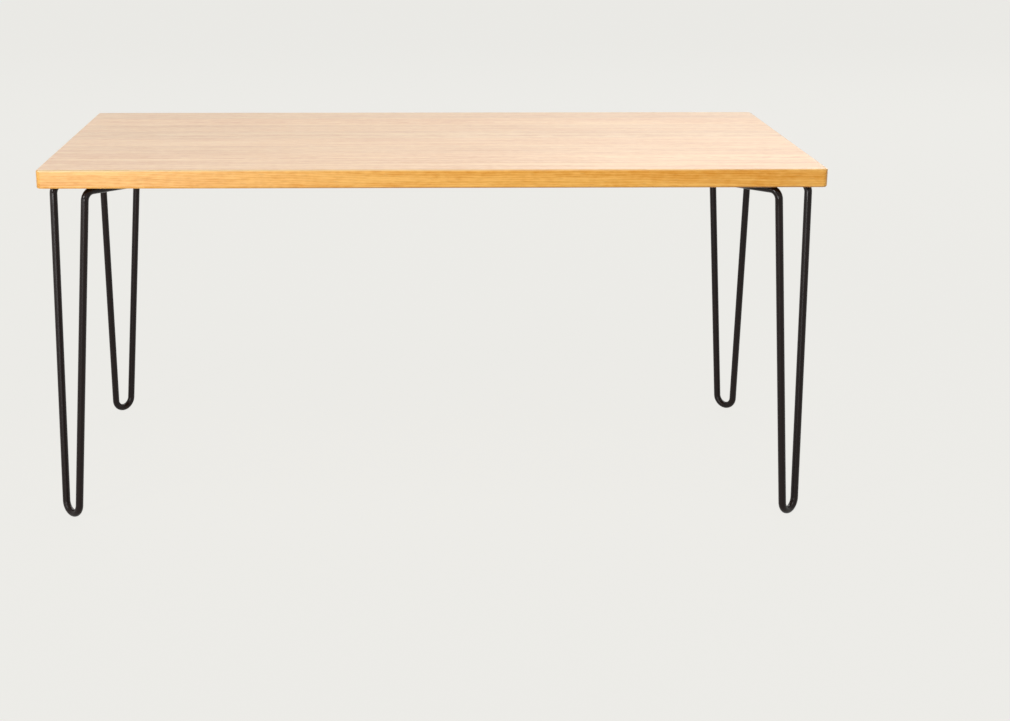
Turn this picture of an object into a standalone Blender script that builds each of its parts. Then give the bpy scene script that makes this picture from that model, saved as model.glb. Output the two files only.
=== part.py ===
"""Dining table: a top glued up from boards, on four hairpin legs bent from round rod.

Units are metres. The table stands on z = 0 with the middle of its top over the origin,
its length along X and its front towards -Y. Each corner's hardware is modelled once, in a
frame that starts at that corner of the top, on the floor, with X running inwards along
the corner's diagonal, and is then placed at all four corners by an empty.
"""

import math

import bmesh
import bpy
from mathutils import Matrix, Vector

# Whole table
TABLE_LENGTH = 1.600
TABLE_WIDTH = 0.800
TABLE_HEIGHT = 0.755

# Clearance left between pieces that touch
FIT_GAP = 0.0003

# Top: boards that run the table's length, glued edge to edge
TOP_THICKNESS = 0.038
BOARD_COUNT = 8
TOP_CORNER_RADIUS = 0.010
TOP_ARRIS_RADIUS = 0.0035
TOP_CORNER_SEGMENTS = 6
TOP_ARRIS_SEGMENTS = 4

# Hairpin legs: one round rod each, bent at the foot and at its two shoulders.
# The insets run from the top's corner along its diagonal, the radii are to the rod's middle.
ROD_DIAMETER = 0.016
FOOT_INSET = 0.0445
SHOULDER_INSET = 0.0790
SHOULDER_SPREAD = 0.1115
FOOT_BEND_RADIUS = 0.0237
SHOULDER_BEND_RADIUS = 0.020
FOOT_BEND_STEPS = 16
SHOULDER_BEND_STEPS = 6
ROD_BEVEL_RESOLUTION = 6

# Mounting plates, each between the two bars of a hairpin and flush with their tops
PLATE_LENGTH = 0.100
PLATE_THICKNESS = 0.004
PLATE_SETBACK = 0.011
BAR_END_MARGIN = 0.005

# Fillet welds under each edge of the plate, two along each bar
WELD_LEG = 0.0045
WELD_LENGTH = 0.025
WELD_BULGE = 0.0004
WELD_END_MARGIN = 0.003
WELD_ARC_STEPS = 2
WELD_ROOT_ANGLE = math.radians(4)
WELD_SPAN_ANGLE = math.radians(34)

# Flanged button-head machine screws, M6
SCREW_DIAMETER = 0.006
SCREW_LENGTH = 0.016
SCREW_TIP_CHAMFER = 0.0007
SCREW_HEAD_DIAMETER = 0.0105
SCREW_HEAD_HEIGHT = 0.0033
SCREW_FLANGE_DIAMETER = 0.0136
SCREW_FLANGE_THICKNESS = 0.0009
SCREW_HEAD_STEPS = 3
SCREW_SOCKET_SIDES = 6
SCREW_SOCKET_WIDTH = 0.004
SCREW_SOCKET_DEPTH = 0.0020
SCREW_HOLE_CLEARANCE = 0.0004
SCREW_END_DISTANCE = 0.014
SCREW_TO_WELD = 0.0132

# Threaded inserts, set flush in blind holes in the boards
INSERT_DIAMETER = 0.010
INSERT_LENGTH = 0.013
INSERT_FLANGE_DIAMETER = 0.012
INSERT_FLANGE_THICKNESS = 0.0012
INSERT_TIP_TAPER = 0.0008
HOLE_TIP_RELIEF = 0.003

# Sides of the small round pieces
ROUND_STEPS = 12
PLATE_HOLE_STEPS = 16

# How far a cutting solid runs past what it cuts
CUT_OVERRUN = 0.005

# Smooth shading stops at edges sharper than this
SHARP_ANGLE = math.radians(32)

# Poles of a turned shape closer than this are welded
POLE_MERGE = 0.00001

# Sizes that follow from those above
ROD_RADIUS = ROD_DIAMETER / 2
SCREW_RADIUS = SCREW_DIAMETER / 2
UNDERSIDE_Z = TABLE_HEIGHT - TOP_THICKNESS
PLATE_TOP_Z = UNDERSIDE_Z - FIT_GAP
PLATE_BOTTOM_Z = PLATE_TOP_Z - PLATE_THICKNESS
SCREW_SEAT_Z = PLATE_BOTTOM_Z - FIT_GAP
BAR_AXIS_Z = UNDERSIDE_Z - FIT_GAP - ROD_RADIUS
BAR_OFFSET = SHOULDER_SPREAD / 2
BAR_STRAIGHT_START = SHOULDER_INSET + SHOULDER_BEND_RADIUS
PLATE_START = SHOULDER_INSET + PLATE_SETBACK
PLATE_END = PLATE_START + PLATE_LENGTH
BAR_END = PLATE_END - BAR_END_MARGIN
WELD_STARTS = (
    BAR_STRAIGHT_START + WELD_END_MARGIN,
    BAR_END - WELD_END_MARGIN - WELD_LENGTH,
)

# The plate's lower edges meet the round bars this far from the bars' middles,
# at this angle from their tops
ROD_CLEAR_RADIUS = ROD_RADIUS + FIT_GAP
PLATE_EDGE_ANGLE = math.acos((PLATE_BOTTOM_Z - BAR_AXIS_Z) / ROD_CLEAR_RADIUS)
PLATE_EDGE_DISTANCE = ROD_CLEAR_RADIUS * math.sin(PLATE_EDGE_ANGLE)
PLATE_WIDTH = SHOULDER_SPREAD - 2 * PLATE_EDGE_DISTANCE
WELD_TOE = PLATE_EDGE_DISTANCE + WELD_LEG
SCREW_OFFSET = BAR_OFFSET - WELD_TOE - SCREW_TO_WELD - SCREW_FLANGE_DIAMETER / 2
SCREW_PLACES = [
    (along, across)
    for along in (PLATE_START + SCREW_END_DISTANCE, PLATE_END - SCREW_END_DISTANCE)
    for across in (-SCREW_OFFSET, SCREW_OFFSET)
]

# The table's corners: name, side along X and side along Y
CORNERS = (
    ("front_left", -1, -1),
    ("front_right", 1, -1),
    ("back_left", -1, 1),
    ("back_right", 1, 1),
)

# Finishes: linear base colour, roughness, metallic
FINISHES = {
    "board_timber": ((0.56, 0.29, 0.105), 0.38, 0.0),
    "black_rod": ((0.018, 0.017, 0.018), 0.36, 0.3),
    "black_plate": ((0.022, 0.021, 0.022), 0.5, 0.3),
    "black_screw": ((0.045, 0.044, 0.046), 0.38, 0.9),
    "insert_brass": ((0.62, 0.45, 0.20), 0.35, 1.0),
}


def clear_scene():
    """Remove every object that the file starts with."""
    for obj in list(bpy.data.objects):
        bpy.data.objects.remove(obj, do_unlink=True)


def make_collection(name):
    """Make a collection in the scene."""
    collection = bpy.data.collections.new(name)
    bpy.context.scene.collection.children.link(collection)
    return collection


def make_material(name):
    """Make a material from its entry in the table of finishes."""
    color, roughness, metallic = FINISHES[name]
    material = bpy.data.materials.new(name)
    material.use_nodes = True
    shader = material.node_tree.nodes["Principled BSDF"]
    shader.inputs["Base Color"].default_value = (*color, 1.0)
    shader.inputs["Roughness"].default_value = roughness
    shader.inputs["Metallic"].default_value = metallic
    material.diffuse_color = (*color, 1.0)
    return material


def add_object(name, data, collection, material=None, parent=None):
    """Put mesh or curve data in the scene under a name."""
    obj = bpy.data.objects.new(name, data)
    collection.objects.link(obj)
    if material and not data.materials:
        data.materials.append(material)
    obj.parent = parent
    return obj


def add_cutter(name, mesh, cutters):
    """Add a cutting solid, which is drawn as wire and never rendered."""
    cutter = add_object(name, mesh, cutters)
    cutter.display_type = "WIRE"
    cutter.hide_render = True
    return cutter


def shade_round(mesh):
    """Shade a mesh smooth, with its real edges kept sharp."""
    mesh.shade_smooth()
    mesh.set_sharp_from_angle(angle=SHARP_ANGLE)


def add_boolean(obj, cutter, operation):
    """Join or cut an object with another by an exact Boolean."""
    modifier = obj.modifiers.new(f"{operation.title()} {cutter.name}", "BOOLEAN")
    modifier.operation = operation
    modifier.solver = "EXACT"
    modifier.object = cutter


def finished_mesh(obj):
    """Take an object's evaluated mesh, weld it, and remove the object."""
    name = obj.name
    graph = bpy.context.evaluated_depsgraph_get()
    mesh = bpy.data.meshes.new_from_object(obj.evaluated_get(graph))
    mesh.name = name
    work = bmesh.new()
    work.from_mesh(mesh)
    bmesh.ops.remove_doubles(work, verts=work.verts, dist=POLE_MERGE)
    work.to_mesh(mesh)
    work.free()
    bpy.data.objects.remove(obj, do_unlink=True)
    return mesh


def box_mesh(name, low, high, corner_radius=0.0, corner_segments=1):
    """Make a box between two corners, with its upright edges rounded if a radius is given."""
    low = Vector(low)
    high = Vector(high)
    size = high - low
    place = Matrix.Translation((low + high) / 2) @ Matrix.Diagonal((*size, 1.0))
    work = bmesh.new()
    bmesh.ops.create_cube(work, size=1.0, matrix=place)
    if corner_radius:
        upright = [
            edge
            for edge in work.edges
            if abs(edge.verts[0].co.z - edge.verts[1].co.z) > size.z / 2
        ]
        bmesh.ops.bevel(
            work,
            geom=upright,
            offset=corner_radius,
            segments=corner_segments,
            profile=0.5,
            affect="EDGES",
        )
    mesh = bpy.data.meshes.new(name)
    work.to_mesh(mesh)
    work.free()
    return mesh


def turned_mesh(name, profile, collection, closed=False):
    """Turn a profile about the Z axis.

    The profile is a list of (radius, height) points that run down the outer side. It starts
    and ends on the axis, or is closed into a ring with its bore side last.
    """
    work = bmesh.new()
    verts = [work.verts.new((radius, 0.0, height)) for radius, height in profile]
    for first, second in zip(verts, verts[1:]):
        work.edges.new((first, second))
    if closed:
        work.edges.new((verts[-1], verts[0]))
    mesh = bpy.data.meshes.new(f"{name}_profile")
    work.to_mesh(mesh)
    work.free()
    obj = add_object(name, mesh, collection)
    screw = obj.modifiers.new("Turn", "SCREW")
    screw.steps = ROUND_STEPS
    screw.render_steps = ROUND_STEPS
    screw.use_merge_vertices = True
    screw.merge_threshold = POLE_MERGE
    bpy.context.view_layer.update()
    return finished_mesh(obj)


def cylinder_mesh(name, radius, low, high, sides, places=((0.0, 0.0),)):
    """Make an upright cylinder between two heights at each of the given places."""
    work = bmesh.new()
    for along, across in places:
        bmesh.ops.create_cone(
            work,
            cap_ends=True,
            segments=sides,
            radius1=radius,
            radius2=radius,
            depth=high - low,
            matrix=Matrix.Translation((along, across, (low + high) / 2)),
        )
    mesh = bpy.data.meshes.new(name)
    work.to_mesh(mesh)
    work.free()
    return mesh


def copies_mesh(name, mesh, placements):
    """Make one mesh of several copies of a solid, each under its own matrix."""
    work = bmesh.new()
    for placement in placements:
        copy = mesh.copy()
        copy.transform(placement)
        work.from_mesh(copy)
        bpy.data.meshes.remove(copy)
    joined = bpy.data.meshes.new(name)
    work.to_mesh(joined)
    work.free()
    return joined


def corner_matrix(side_x, side_y):
    """Place a corner's frame: at the top's corner, on the floor, X inwards on the diagonal."""
    place = Vector((side_x * TABLE_LENGTH / 2, side_y * TABLE_WIDTH / 2, 0.0))
    inwards = math.atan2(-side_y, -side_x)
    return Matrix.Translation(place) @ Matrix.Rotation(inwards, 4, "Z")


def arc_points(centre, first, second, radius, start, sweep, steps):
    """List points on an arc about a centre, in the plane of two square unit directions."""
    points = []
    for step in range(steps + 1):
        angle = start + sweep * step / steps
        points.append(centre + radius * (math.cos(angle) * first + math.sin(angle) * second))
    return points


def rounded_bend(before, corner, after, radius, steps):
    """List points on the arc that rounds off a path at its corner."""
    back = (before - corner).normalized()
    ahead = (after - corner).normalized()
    half_angle = back.angle(ahead) / 2
    centre = corner + (back + ahead).normalized() * radius / math.sin(half_angle)
    start = (corner + back * radius / math.tan(half_angle) - centre).normalized()
    end = (corner + ahead * radius / math.tan(half_angle) - centre).normalized()
    square = (end - start * end.dot(start)).normalized()
    return arc_points(centre, start, square, radius, 0.0, math.pi - 2 * half_angle, steps)


def hairpin_path():
    """List the points of a hairpin's centre line, from one bar's end to the other's.

    The two straights lie in a plane that crosses the corner's diagonal and leans inwards
    from foot to shoulders. They touch the foot's bend and meet the bars at the shoulders.
    """
    across = Vector((0.0, 1.0, 0.0))
    lean = math.atan2(SHOULDER_INSET - FOOT_INSET, BAR_AXIS_Z - ROD_RADIUS - FOOT_BEND_RADIUS)
    foot = Vector((FOOT_INSET, 0.0, ROD_RADIUS + FOOT_BEND_RADIUS * math.cos(lean)))
    rise = Vector((SHOULDER_INSET, 0.0, BAR_AXIS_Z)) - foot
    reach = math.hypot(rise.length, BAR_OFFSET)
    touch = math.atan2(rise.length, BAR_OFFSET) - math.acos(FOOT_BEND_RADIUS / reach)
    foot_bend = arc_points(
        foot,
        across,
        rise.normalized(),
        FOOT_BEND_RADIUS,
        touch,
        -math.pi - 2 * touch,
        FOOT_BEND_STEPS,
    )
    bends = []
    for side, straight_end in ((1, foot_bend[0]), (-1, foot_bend[-1])):
        bar_end = Vector((BAR_END, side * BAR_OFFSET, BAR_AXIS_Z))
        shoulder = Vector((SHOULDER_INSET, side * BAR_OFFSET, BAR_AXIS_Z))
        bend = rounded_bend(
            bar_end, shoulder, straight_end, SHOULDER_BEND_RADIUS, SHOULDER_BEND_STEPS
        )
        bends.append([bar_end, *bend])
    return bends[0] + foot_bend + bends[1][::-1]


def hairpin_curve():
    """Make the bent rod as a round curve with closed ends."""
    curve = bpy.data.curves.new("hairpin", "CURVE")
    curve.dimensions = "3D"
    curve.bevel_depth = ROD_RADIUS
    curve.bevel_resolution = ROD_BEVEL_RESOLUTION
    curve.use_fill_caps = True
    points = hairpin_path()
    spline = curve.splines.new("POLY")
    spline.points.add(len(points) - 1)
    for point, place in zip(spline.points, points):
        point.co = (*place, 1.0)
    return curve


def weld_outline():
    """List the outline of a weld's end, across from the bar's middle and up from the plate.

    One side follows the rod, the other is a slightly full slope to the plate, and the top
    is sunk half way into the plate that the weld is joined to.
    """
    sunk = PLATE_THICKNESS / 2
    drop = PLATE_BOTTOM_Z - BAR_AXIS_Z
    on_rod = []
    for step in range(WELD_ARC_STEPS + 1):
        angle = PLATE_EDGE_ANGLE + WELD_ROOT_ANGLE + WELD_SPAN_ANGLE * step / WELD_ARC_STEPS
        across = ROD_CLEAR_RADIUS * math.sin(angle)
        on_rod.append((across, ROD_CLEAR_RADIUS * math.cos(angle) - drop))
    low_across, low_up = on_rod[-1]
    middle = ((low_across + WELD_TOE) / 2 + WELD_BULGE, low_up / 2 - WELD_BULGE)
    inner_edge = PLATE_EDGE_DISTANCE + WELD_LEG / 2
    return [(inner_edge, sunk), *on_rod, middle, (WELD_TOE, 0.0), (WELD_TOE, sunk)]


def weld_mesh(cutters):
    """Make one weld along X from the origin, on the side of its bar that faces +Y."""
    curve = bpy.data.curves.new("weld", "CURVE")
    curve.dimensions = "2D"
    curve.fill_mode = "BOTH"
    curve.extrude = WELD_LENGTH / 2
    outline = weld_outline()
    spline = curve.splines.new("POLY")
    spline.points.add(len(outline) - 1)
    spline.use_cyclic_u = True
    for point, (across, up) in zip(spline.points, outline):
        point.co = (across, up, 0.0, 1.0)
    mesh = finished_mesh(add_object("weld", curve, cutters))
    mesh.transform(Matrix(((0, 0, 1, 0), (1, 0, 0, 0), (0, 1, 0, 0), (0, 0, 0, 1))))
    mesh.transform(Matrix.Translation((WELD_LENGTH / 2, 0.0, 0.0)))
    return mesh


def plate_mesh(cutters):
    """Make a mounting plate with its welds and its four screw holes."""
    low = (PLATE_START, -PLATE_WIDTH / 2, PLATE_BOTTOM_Z)
    high = (PLATE_END, PLATE_WIDTH / 2, PLATE_TOP_Z)
    plate = add_object("plate", box_mesh("plate", low, high), cutters)
    half_turn = Matrix.Translation((WELD_LENGTH, 0.0, 0.0)) @ Matrix.Rotation(math.pi, 4, "Z")
    placements = []
    for start in WELD_STARTS:
        placements.append(Matrix.Translation((start, -BAR_OFFSET, PLATE_BOTTOM_Z)))
        placements.append(Matrix.Translation((start, BAR_OFFSET, PLATE_BOTTOM_Z)) @ half_turn)
    welds = add_cutter("welds", copies_mesh("welds", weld_mesh(cutters), placements), cutters)
    holes = add_cutter(
        "plate_holes",
        cylinder_mesh(
            "plate_holes",
            SCREW_RADIUS + SCREW_HOLE_CLEARANCE,
            PLATE_BOTTOM_Z - CUT_OVERRUN,
            PLATE_TOP_Z + CUT_OVERRUN,
            PLATE_HOLE_STEPS,
            SCREW_PLACES,
        ),
        cutters,
    )
    add_boolean(plate, welds, "UNION")
    add_boolean(plate, holes, "DIFFERENCE")
    bpy.context.view_layer.update()
    mesh = finished_mesh(plate)
    shade_round(mesh)
    return mesh


def screw_mesh(cutters):
    """Make a flanged button-head screw, tip up, with its head's seat on the plate."""
    head_bottom = SCREW_SEAT_Z - SCREW_HEAD_HEIGHT
    flange_bottom = SCREW_SEAT_Z - SCREW_FLANGE_THICKNESS
    tip = SCREW_SEAT_Z + SCREW_LENGTH
    dome_height = flange_bottom - head_bottom
    socket_radius = SCREW_SOCKET_WIDTH / 2 / math.cos(math.pi / SCREW_SOCKET_SIDES)
    face_radius = socket_radius + SCREW_TIP_CHAMFER
    profile = [
        (0.0, tip),
        (SCREW_RADIUS - SCREW_TIP_CHAMFER, tip),
        (SCREW_RADIUS, tip - SCREW_TIP_CHAMFER),
        (SCREW_RADIUS, SCREW_SEAT_Z),
        (SCREW_FLANGE_DIAMETER / 2, SCREW_SEAT_Z),
        (SCREW_FLANGE_DIAMETER / 2, flange_bottom),
    ]
    for step in range(SCREW_HEAD_STEPS + 1):
        angle = math.pi / 2 * step / SCREW_HEAD_STEPS
        radius = face_radius + (SCREW_HEAD_DIAMETER / 2 - face_radius) * math.cos(angle)
        profile.append((radius, flange_bottom - dome_height * math.sin(angle)))
    profile.append((0.0, head_bottom))
    body = add_object("screw", turned_mesh("screw_body", profile, cutters), cutters)
    socket = add_cutter(
        "screw_socket",
        cylinder_mesh(
            "screw_socket",
            socket_radius,
            head_bottom - CUT_OVERRUN,
            head_bottom + SCREW_SOCKET_DEPTH,
            SCREW_SOCKET_SIDES,
        ),
        cutters,
    )
    add_boolean(body, socket, "DIFFERENCE")
    bpy.context.view_layer.update()
    mesh = finished_mesh(body)
    shade_round(mesh)
    return mesh


def insert_mesh(cutters):
    """Make a threaded insert as a flanged sleeve, flush with the boards' underside."""
    top = UNDERSIDE_Z + INSERT_LENGTH
    flange_top = UNDERSIDE_Z + INSERT_FLANGE_THICKNESS
    bore = SCREW_RADIUS + FIT_GAP
    profile = [
        (bore, top),
        (INSERT_DIAMETER / 2 - INSERT_TIP_TAPER, top),
        (INSERT_DIAMETER / 2, top - INSERT_TIP_TAPER),
        (INSERT_DIAMETER / 2, flange_top),
        (INSERT_FLANGE_DIAMETER / 2, flange_top),
        (INSERT_FLANGE_DIAMETER / 2, UNDERSIDE_Z),
        (bore, UNDERSIDE_Z),
    ]
    mesh = turned_mesh("insert", profile, cutters, closed=True)
    shade_round(mesh)
    return mesh


def insert_hole_mesh(cutters):
    """Make the blind hole that an insert needs, counterbored for its flange."""
    top = UNDERSIDE_Z + INSERT_LENGTH + HOLE_TIP_RELIEF
    flange_top = UNDERSIDE_Z + INSERT_FLANGE_THICKNESS + FIT_GAP
    profile = [
        (0.0, top),
        (INSERT_DIAMETER / 2 + FIT_GAP, top),
        (INSERT_DIAMETER / 2 + FIT_GAP, flange_top),
        (INSERT_FLANGE_DIAMETER / 2 + FIT_GAP, flange_top),
        (INSERT_FLANGE_DIAMETER / 2 + FIT_GAP, UNDERSIDE_Z - CUT_OVERRUN),
        (0.0, UNDERSIDE_Z - CUT_OVERRUN),
    ]
    return turned_mesh("insert_hole", profile, cutters)


def top_blank(cutters):
    """Make the whole top as one rounded slab, which the boards are taken from."""
    low = (-TABLE_LENGTH / 2, -TABLE_WIDTH / 2, UNDERSIDE_Z)
    high = (TABLE_LENGTH / 2, TABLE_WIDTH / 2, TABLE_HEIGHT)
    mesh = box_mesh("top_blank", low, high, TOP_CORNER_RADIUS, TOP_CORNER_SEGMENTS)
    blank = add_cutter("top_blank", mesh, cutters)
    arris = blank.modifiers.new("Arris", "BEVEL")
    arris.width = TOP_ARRIS_RADIUS
    arris.segments = TOP_ARRIS_SEGMENTS
    arris.limit_method = "ANGLE"
    arris.angle_limit = SHARP_ANGLE
    return blank


def build_boards(table, cutters, timber):
    """Make the boards: each is its own slice of the rounded top, bored for the inserts."""
    blank = top_blank(cutters)
    placements = [
        corner_matrix(side_x, side_y) @ Matrix.Translation((along, across, 0.0))
        for _, side_x, side_y in CORNERS
        for along, across in SCREW_PLACES
    ]
    holes = add_cutter(
        "insert_holes",
        copies_mesh("insert_holes", insert_hole_mesh(cutters), placements),
        cutters,
    )
    pitch = (TABLE_WIDTH + FIT_GAP) / BOARD_COUNT
    reach = TABLE_LENGTH / 2 + CUT_OVERRUN
    for index in range(BOARD_COUNT):
        front = index * pitch - TABLE_WIDTH / 2
        back = front + pitch - FIT_GAP
        if index == 0:
            front -= CUT_OVERRUN
        if index == BOARD_COUNT - 1:
            back += CUT_OVERRUN
        low = (-reach, front, UNDERSIDE_Z - CUT_OVERRUN)
        high = (reach, back, TABLE_HEIGHT + CUT_OVERRUN)
        name = f"top_board_{index + 1}"
        board = add_object(name, box_mesh(name, low, high), table, timber)
        add_boolean(board, blank, "INTERSECT")
        add_boolean(board, holes, "DIFFERENCE")


def build_corners(table, cutters, materials):
    """Make each corner's hairpin, plate, screws and inserts, and place them."""
    hairpin = hairpin_curve()
    plate = plate_mesh(cutters)
    screw = screw_mesh(cutters)
    insert = insert_mesh(cutters)
    for corner, side_x, side_y in CORNERS:
        empty = bpy.data.objects.new(f"corner_{corner}", None)
        table.objects.link(empty)
        empty.matrix_world = corner_matrix(side_x, side_y)
        add_object(f"hairpin_{corner}", hairpin, table, materials["black_rod"], empty)
        add_object(f"mounting_plate_{corner}", plate, table, materials["black_plate"], empty)
        for number, (along, across) in enumerate(SCREW_PLACES, start=1):
            for kind, mesh, finish in (
                ("screw", screw, "black_screw"),
                ("insert", insert, "insert_brass"),
            ):
                name = f"{kind}_{corner}_{number}"
                piece = add_object(name, mesh, table, materials[finish], empty)
                piece.location = (along, across, 0.0)


def main():
    """Build the whole table."""
    clear_scene()
    table = make_collection("dining_table")
    cutters = make_collection("cutters")
    materials = {name: make_material(name) for name in FINISHES}
    build_boards(table, cutters, materials["board_timber"])
    build_corners(table, cutters, materials)
    bpy.context.view_layer.update()


main()
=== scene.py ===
"""Looks of a dining table: a lacquered timber top on four black hairpin legs.

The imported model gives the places. Built on it here are boards with eased edges and a
grain that runs right through them, rods bent smoothly at foot and shoulders, plates with
their welds and screw holes, and button-head screws. All lengths are in metres.
"""

import logging
import math
import random
from dataclasses import dataclass
from enum import Enum
from functools import cached_property, reduce
from typing import Any, Callable, Iterable, Sequence, Union

import bmesh
import bpy
from bpy.types import Material, Object, World
from mathutils import Matrix, Vector


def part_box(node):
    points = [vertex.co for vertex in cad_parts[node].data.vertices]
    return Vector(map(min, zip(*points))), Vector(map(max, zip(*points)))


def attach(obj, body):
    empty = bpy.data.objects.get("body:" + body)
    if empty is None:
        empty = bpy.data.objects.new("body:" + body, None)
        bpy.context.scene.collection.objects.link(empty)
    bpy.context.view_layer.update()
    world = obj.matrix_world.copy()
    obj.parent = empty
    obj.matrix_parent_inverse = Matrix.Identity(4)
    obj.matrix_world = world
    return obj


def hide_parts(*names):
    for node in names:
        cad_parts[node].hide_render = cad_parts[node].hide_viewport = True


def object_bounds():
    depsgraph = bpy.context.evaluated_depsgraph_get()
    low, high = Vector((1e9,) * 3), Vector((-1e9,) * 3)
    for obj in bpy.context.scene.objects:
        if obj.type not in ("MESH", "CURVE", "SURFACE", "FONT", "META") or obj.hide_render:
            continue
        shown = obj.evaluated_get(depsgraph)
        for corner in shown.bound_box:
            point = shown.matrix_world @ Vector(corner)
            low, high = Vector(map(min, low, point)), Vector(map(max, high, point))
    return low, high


LOG = logging.getLogger("dining_table")
BODY = "root"
SCREWS_EACH = 4
# How squarely a face looks, or an edge runs, along an axis that it is said to follow.
FACING = 0.9
QUAD = 4

Pair = tuple[float, float]
Triple = tuple[float, float, float]
Color = Triple
Key = Union[str, int]
Term = Union["Value", float]

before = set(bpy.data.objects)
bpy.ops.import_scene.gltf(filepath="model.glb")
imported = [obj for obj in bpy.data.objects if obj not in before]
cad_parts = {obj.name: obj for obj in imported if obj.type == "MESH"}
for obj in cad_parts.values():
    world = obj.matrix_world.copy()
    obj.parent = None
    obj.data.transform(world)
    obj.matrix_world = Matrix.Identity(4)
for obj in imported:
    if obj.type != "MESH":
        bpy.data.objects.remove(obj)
CAD_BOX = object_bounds()


class Slot(Enum):
    """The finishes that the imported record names."""

    TIMBER = "board_timber"
    ROD = "black_rod"
    PLATE = "black_plate"
    SCREW = "black_screw"
    INSERT = "insert_brass"


class Corner(Enum):
    """The table's corners: the words in their nodes' names, and their sides along X and Y."""

    FRONT_LEFT = ("front_left", -1, -1)
    FRONT_RIGHT = ("front_right", 1, -1)
    BACK_LEFT = ("back_left", -1, 1)
    BACK_RIGHT = ("back_right", 1, 1)

    @property
    def words(self) -> str:
        """The corner as it stands in a node's name."""
        return self.value[0]

    @property
    def place(self) -> Matrix:
        """Work out the corner's own frame.

        Returns:
            The way to it, on the floor under the top's corner with X inwards.
        """
        _, side_x, side_y = self.value
        low, high = CAD_BOX
        point = Vector((high.x if side_x > 0 else low.x, high.y if side_y > 0 else low.y, 0.0))
        turn = Matrix.Rotation(math.atan2(-side_y, -side_x), 4, "Z")
        return Matrix.Translation(point) @ turn

    def fixings(self, word: str) -> list[str]:
        """The names of the corner's screws or inserts."""
        return [f"{word}_{self.words}_{number + 1}" for number in range(SCREWS_EACH)]


class Kind(Enum):
    """The kinds of mesh element that can be picked in edit mode."""

    EDGE = "edges"
    FACE = "faces"


class Figure(Enum):
    """How a board was sawn: how far the log's heart lies beside and below the board."""

    CATHEDRAL = (0.012, 0.055)
    RIFT = (0.110, 0.095)
    QUARTER = (0.170, 0.020)


def take(*objs: Object) -> None:
    """Select only these objects.

    Args:
        objs: The objects, with the one to make active first.
    """
    bpy.ops.object.select_all(action="DESELECT")
    for obj in objs:
        obj.select_set(True)
    bpy.context.view_layer.objects.active = objs[0]


def add(name: str, data: Any) -> Object:
    """Add an object to the scene.

    Args:
        name: Its name.
        data: Its mesh, lamp or camera.

    Returns:
        The object, at the origin.
    """
    obj = bpy.data.objects.new(name, data)
    bpy.context.scene.collection.objects.link(obj)
    return obj


def named(name: str) -> Object:
    """Name the object just added, and settle its place in its mesh.

    Args:
        name: The object's new name.

    Returns:
        The object, at the origin and unscaled.
    """
    obj = bpy.context.active_object
    obj.name = name
    obj.data.name = name
    take(obj)
    bpy.ops.object.transform_apply(location=True, rotation=True, scale=True)
    return obj


def block(name: str, low: Vector, high: Vector) -> Object:
    """Add a block between its lowest and its highest corner."""
    bpy.ops.mesh.primitive_cube_add(size=1.0, location=(low + high) / 2, scale=high - low)
    return named(name)


def disc(name: str, radius: float, low: float, high: float, sides: int) -> Object:
    """Add an upright round bar about the Z axis.

    Args:
        name: The object's name.
        radius: The bar's radius.
        low: Height of its lower end.
        high: Height of its upper end.
        sides: How many sides it has.

    Returns:
        The bar, at the origin.
    """
    middle = (0.0, 0.0, (low + high) / 2)
    bpy.ops.mesh.primitive_cylinder_add(
        vertices=sides, radius=radius, depth=high - low, location=middle
    )
    return named(name)


def edit(obj: Object) -> None:
    """Open an object in edit mode with all of it selected, a ring without faces too.

    Args:
        obj: The object.
    """
    take(obj)
    bpy.ops.object.mode_set(mode="EDIT")
    bpy.ops.mesh.select_mode(type="VERT")
    bpy.ops.mesh.select_all(action="SELECT")


def leave() -> None:
    """Go back to object mode."""
    bpy.ops.object.mode_set(mode="OBJECT")


def pick(kind: Kind, test: Callable[[Any], bool]) -> None:
    """Select in edit mode the elements that pass a test, and nothing else.

    Args:
        kind: What is picked.
        test: Says whether one element is wanted.
    """
    bpy.ops.mesh.select_mode(type=kind.name)
    bpy.ops.mesh.select_all(action="DESELECT")
    mesh = bpy.context.active_object.data
    work = bmesh.from_edit_mesh(mesh)
    for item in filter(test, getattr(work, kind.value)):
        item.select_set(True)
    work.select_flush_mode()
    bmesh.update_edit_mesh(mesh)


def ease(test: Callable[[Any], bool], size: float, segments: int) -> None:
    """Round or break in edit mode the edges that pass a test."""
    pick(Kind.EDGE, test)
    bpy.ops.mesh.bevel(offset=size, segments=segments, affect="EDGES")


def ends_flat(face: bmesh.types.BMFace) -> bool:
    """Say whether a face is a round bar's level end."""
    return abs(face.normal.z) > FACING and len(face.verts) > QUAD


def is_upright(edge: bmesh.types.BMEdge) -> bool:
    """Say whether an edge of a block stands upright."""
    run = edge.verts[0].co - edge.verts[1].co
    return abs(run.z) > run.length * FACING


def is_rim(edge: bmesh.types.BMEdge) -> bool:
    """Say whether an edge lies between a level face and an upright one."""
    slopes = sorted(abs(face.normal.z) for face in edge.link_faces)
    return slopes[0] < 1.0 - FACING and slopes[-1] > FACING


def lift(rise: float, share: float = 1.0) -> None:
    """Extrude what is selected along the Z axis, and draw the new end in about it."""
    bpy.ops.mesh.extrude_region_move(TRANSFORM_OT_translate={"value": (0.0, 0.0, rise)})
    bpy.ops.transform.resize(value=(share, share, 1.0), center_override=(0.0, 0.0, 0.0))


def modify(obj: Object, kind: str, **settings: Any) -> None:
    """Give an object a modifier and apply it.

    Args:
        obj: The object to change.
        kind: The modifier's type.
        settings: The modifier's settings.
    """
    take(obj)
    modifier = obj.modifiers.new(kind.title(), kind)
    for name, value in settings.items():
        setattr(modifier, name, value)
    bpy.ops.object.modifier_apply(modifier=modifier.name)


def join(parts: Sequence[Object]) -> None:
    """Bring several objects into the first of them."""
    take(*parts)
    bpy.ops.object.join()


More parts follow.
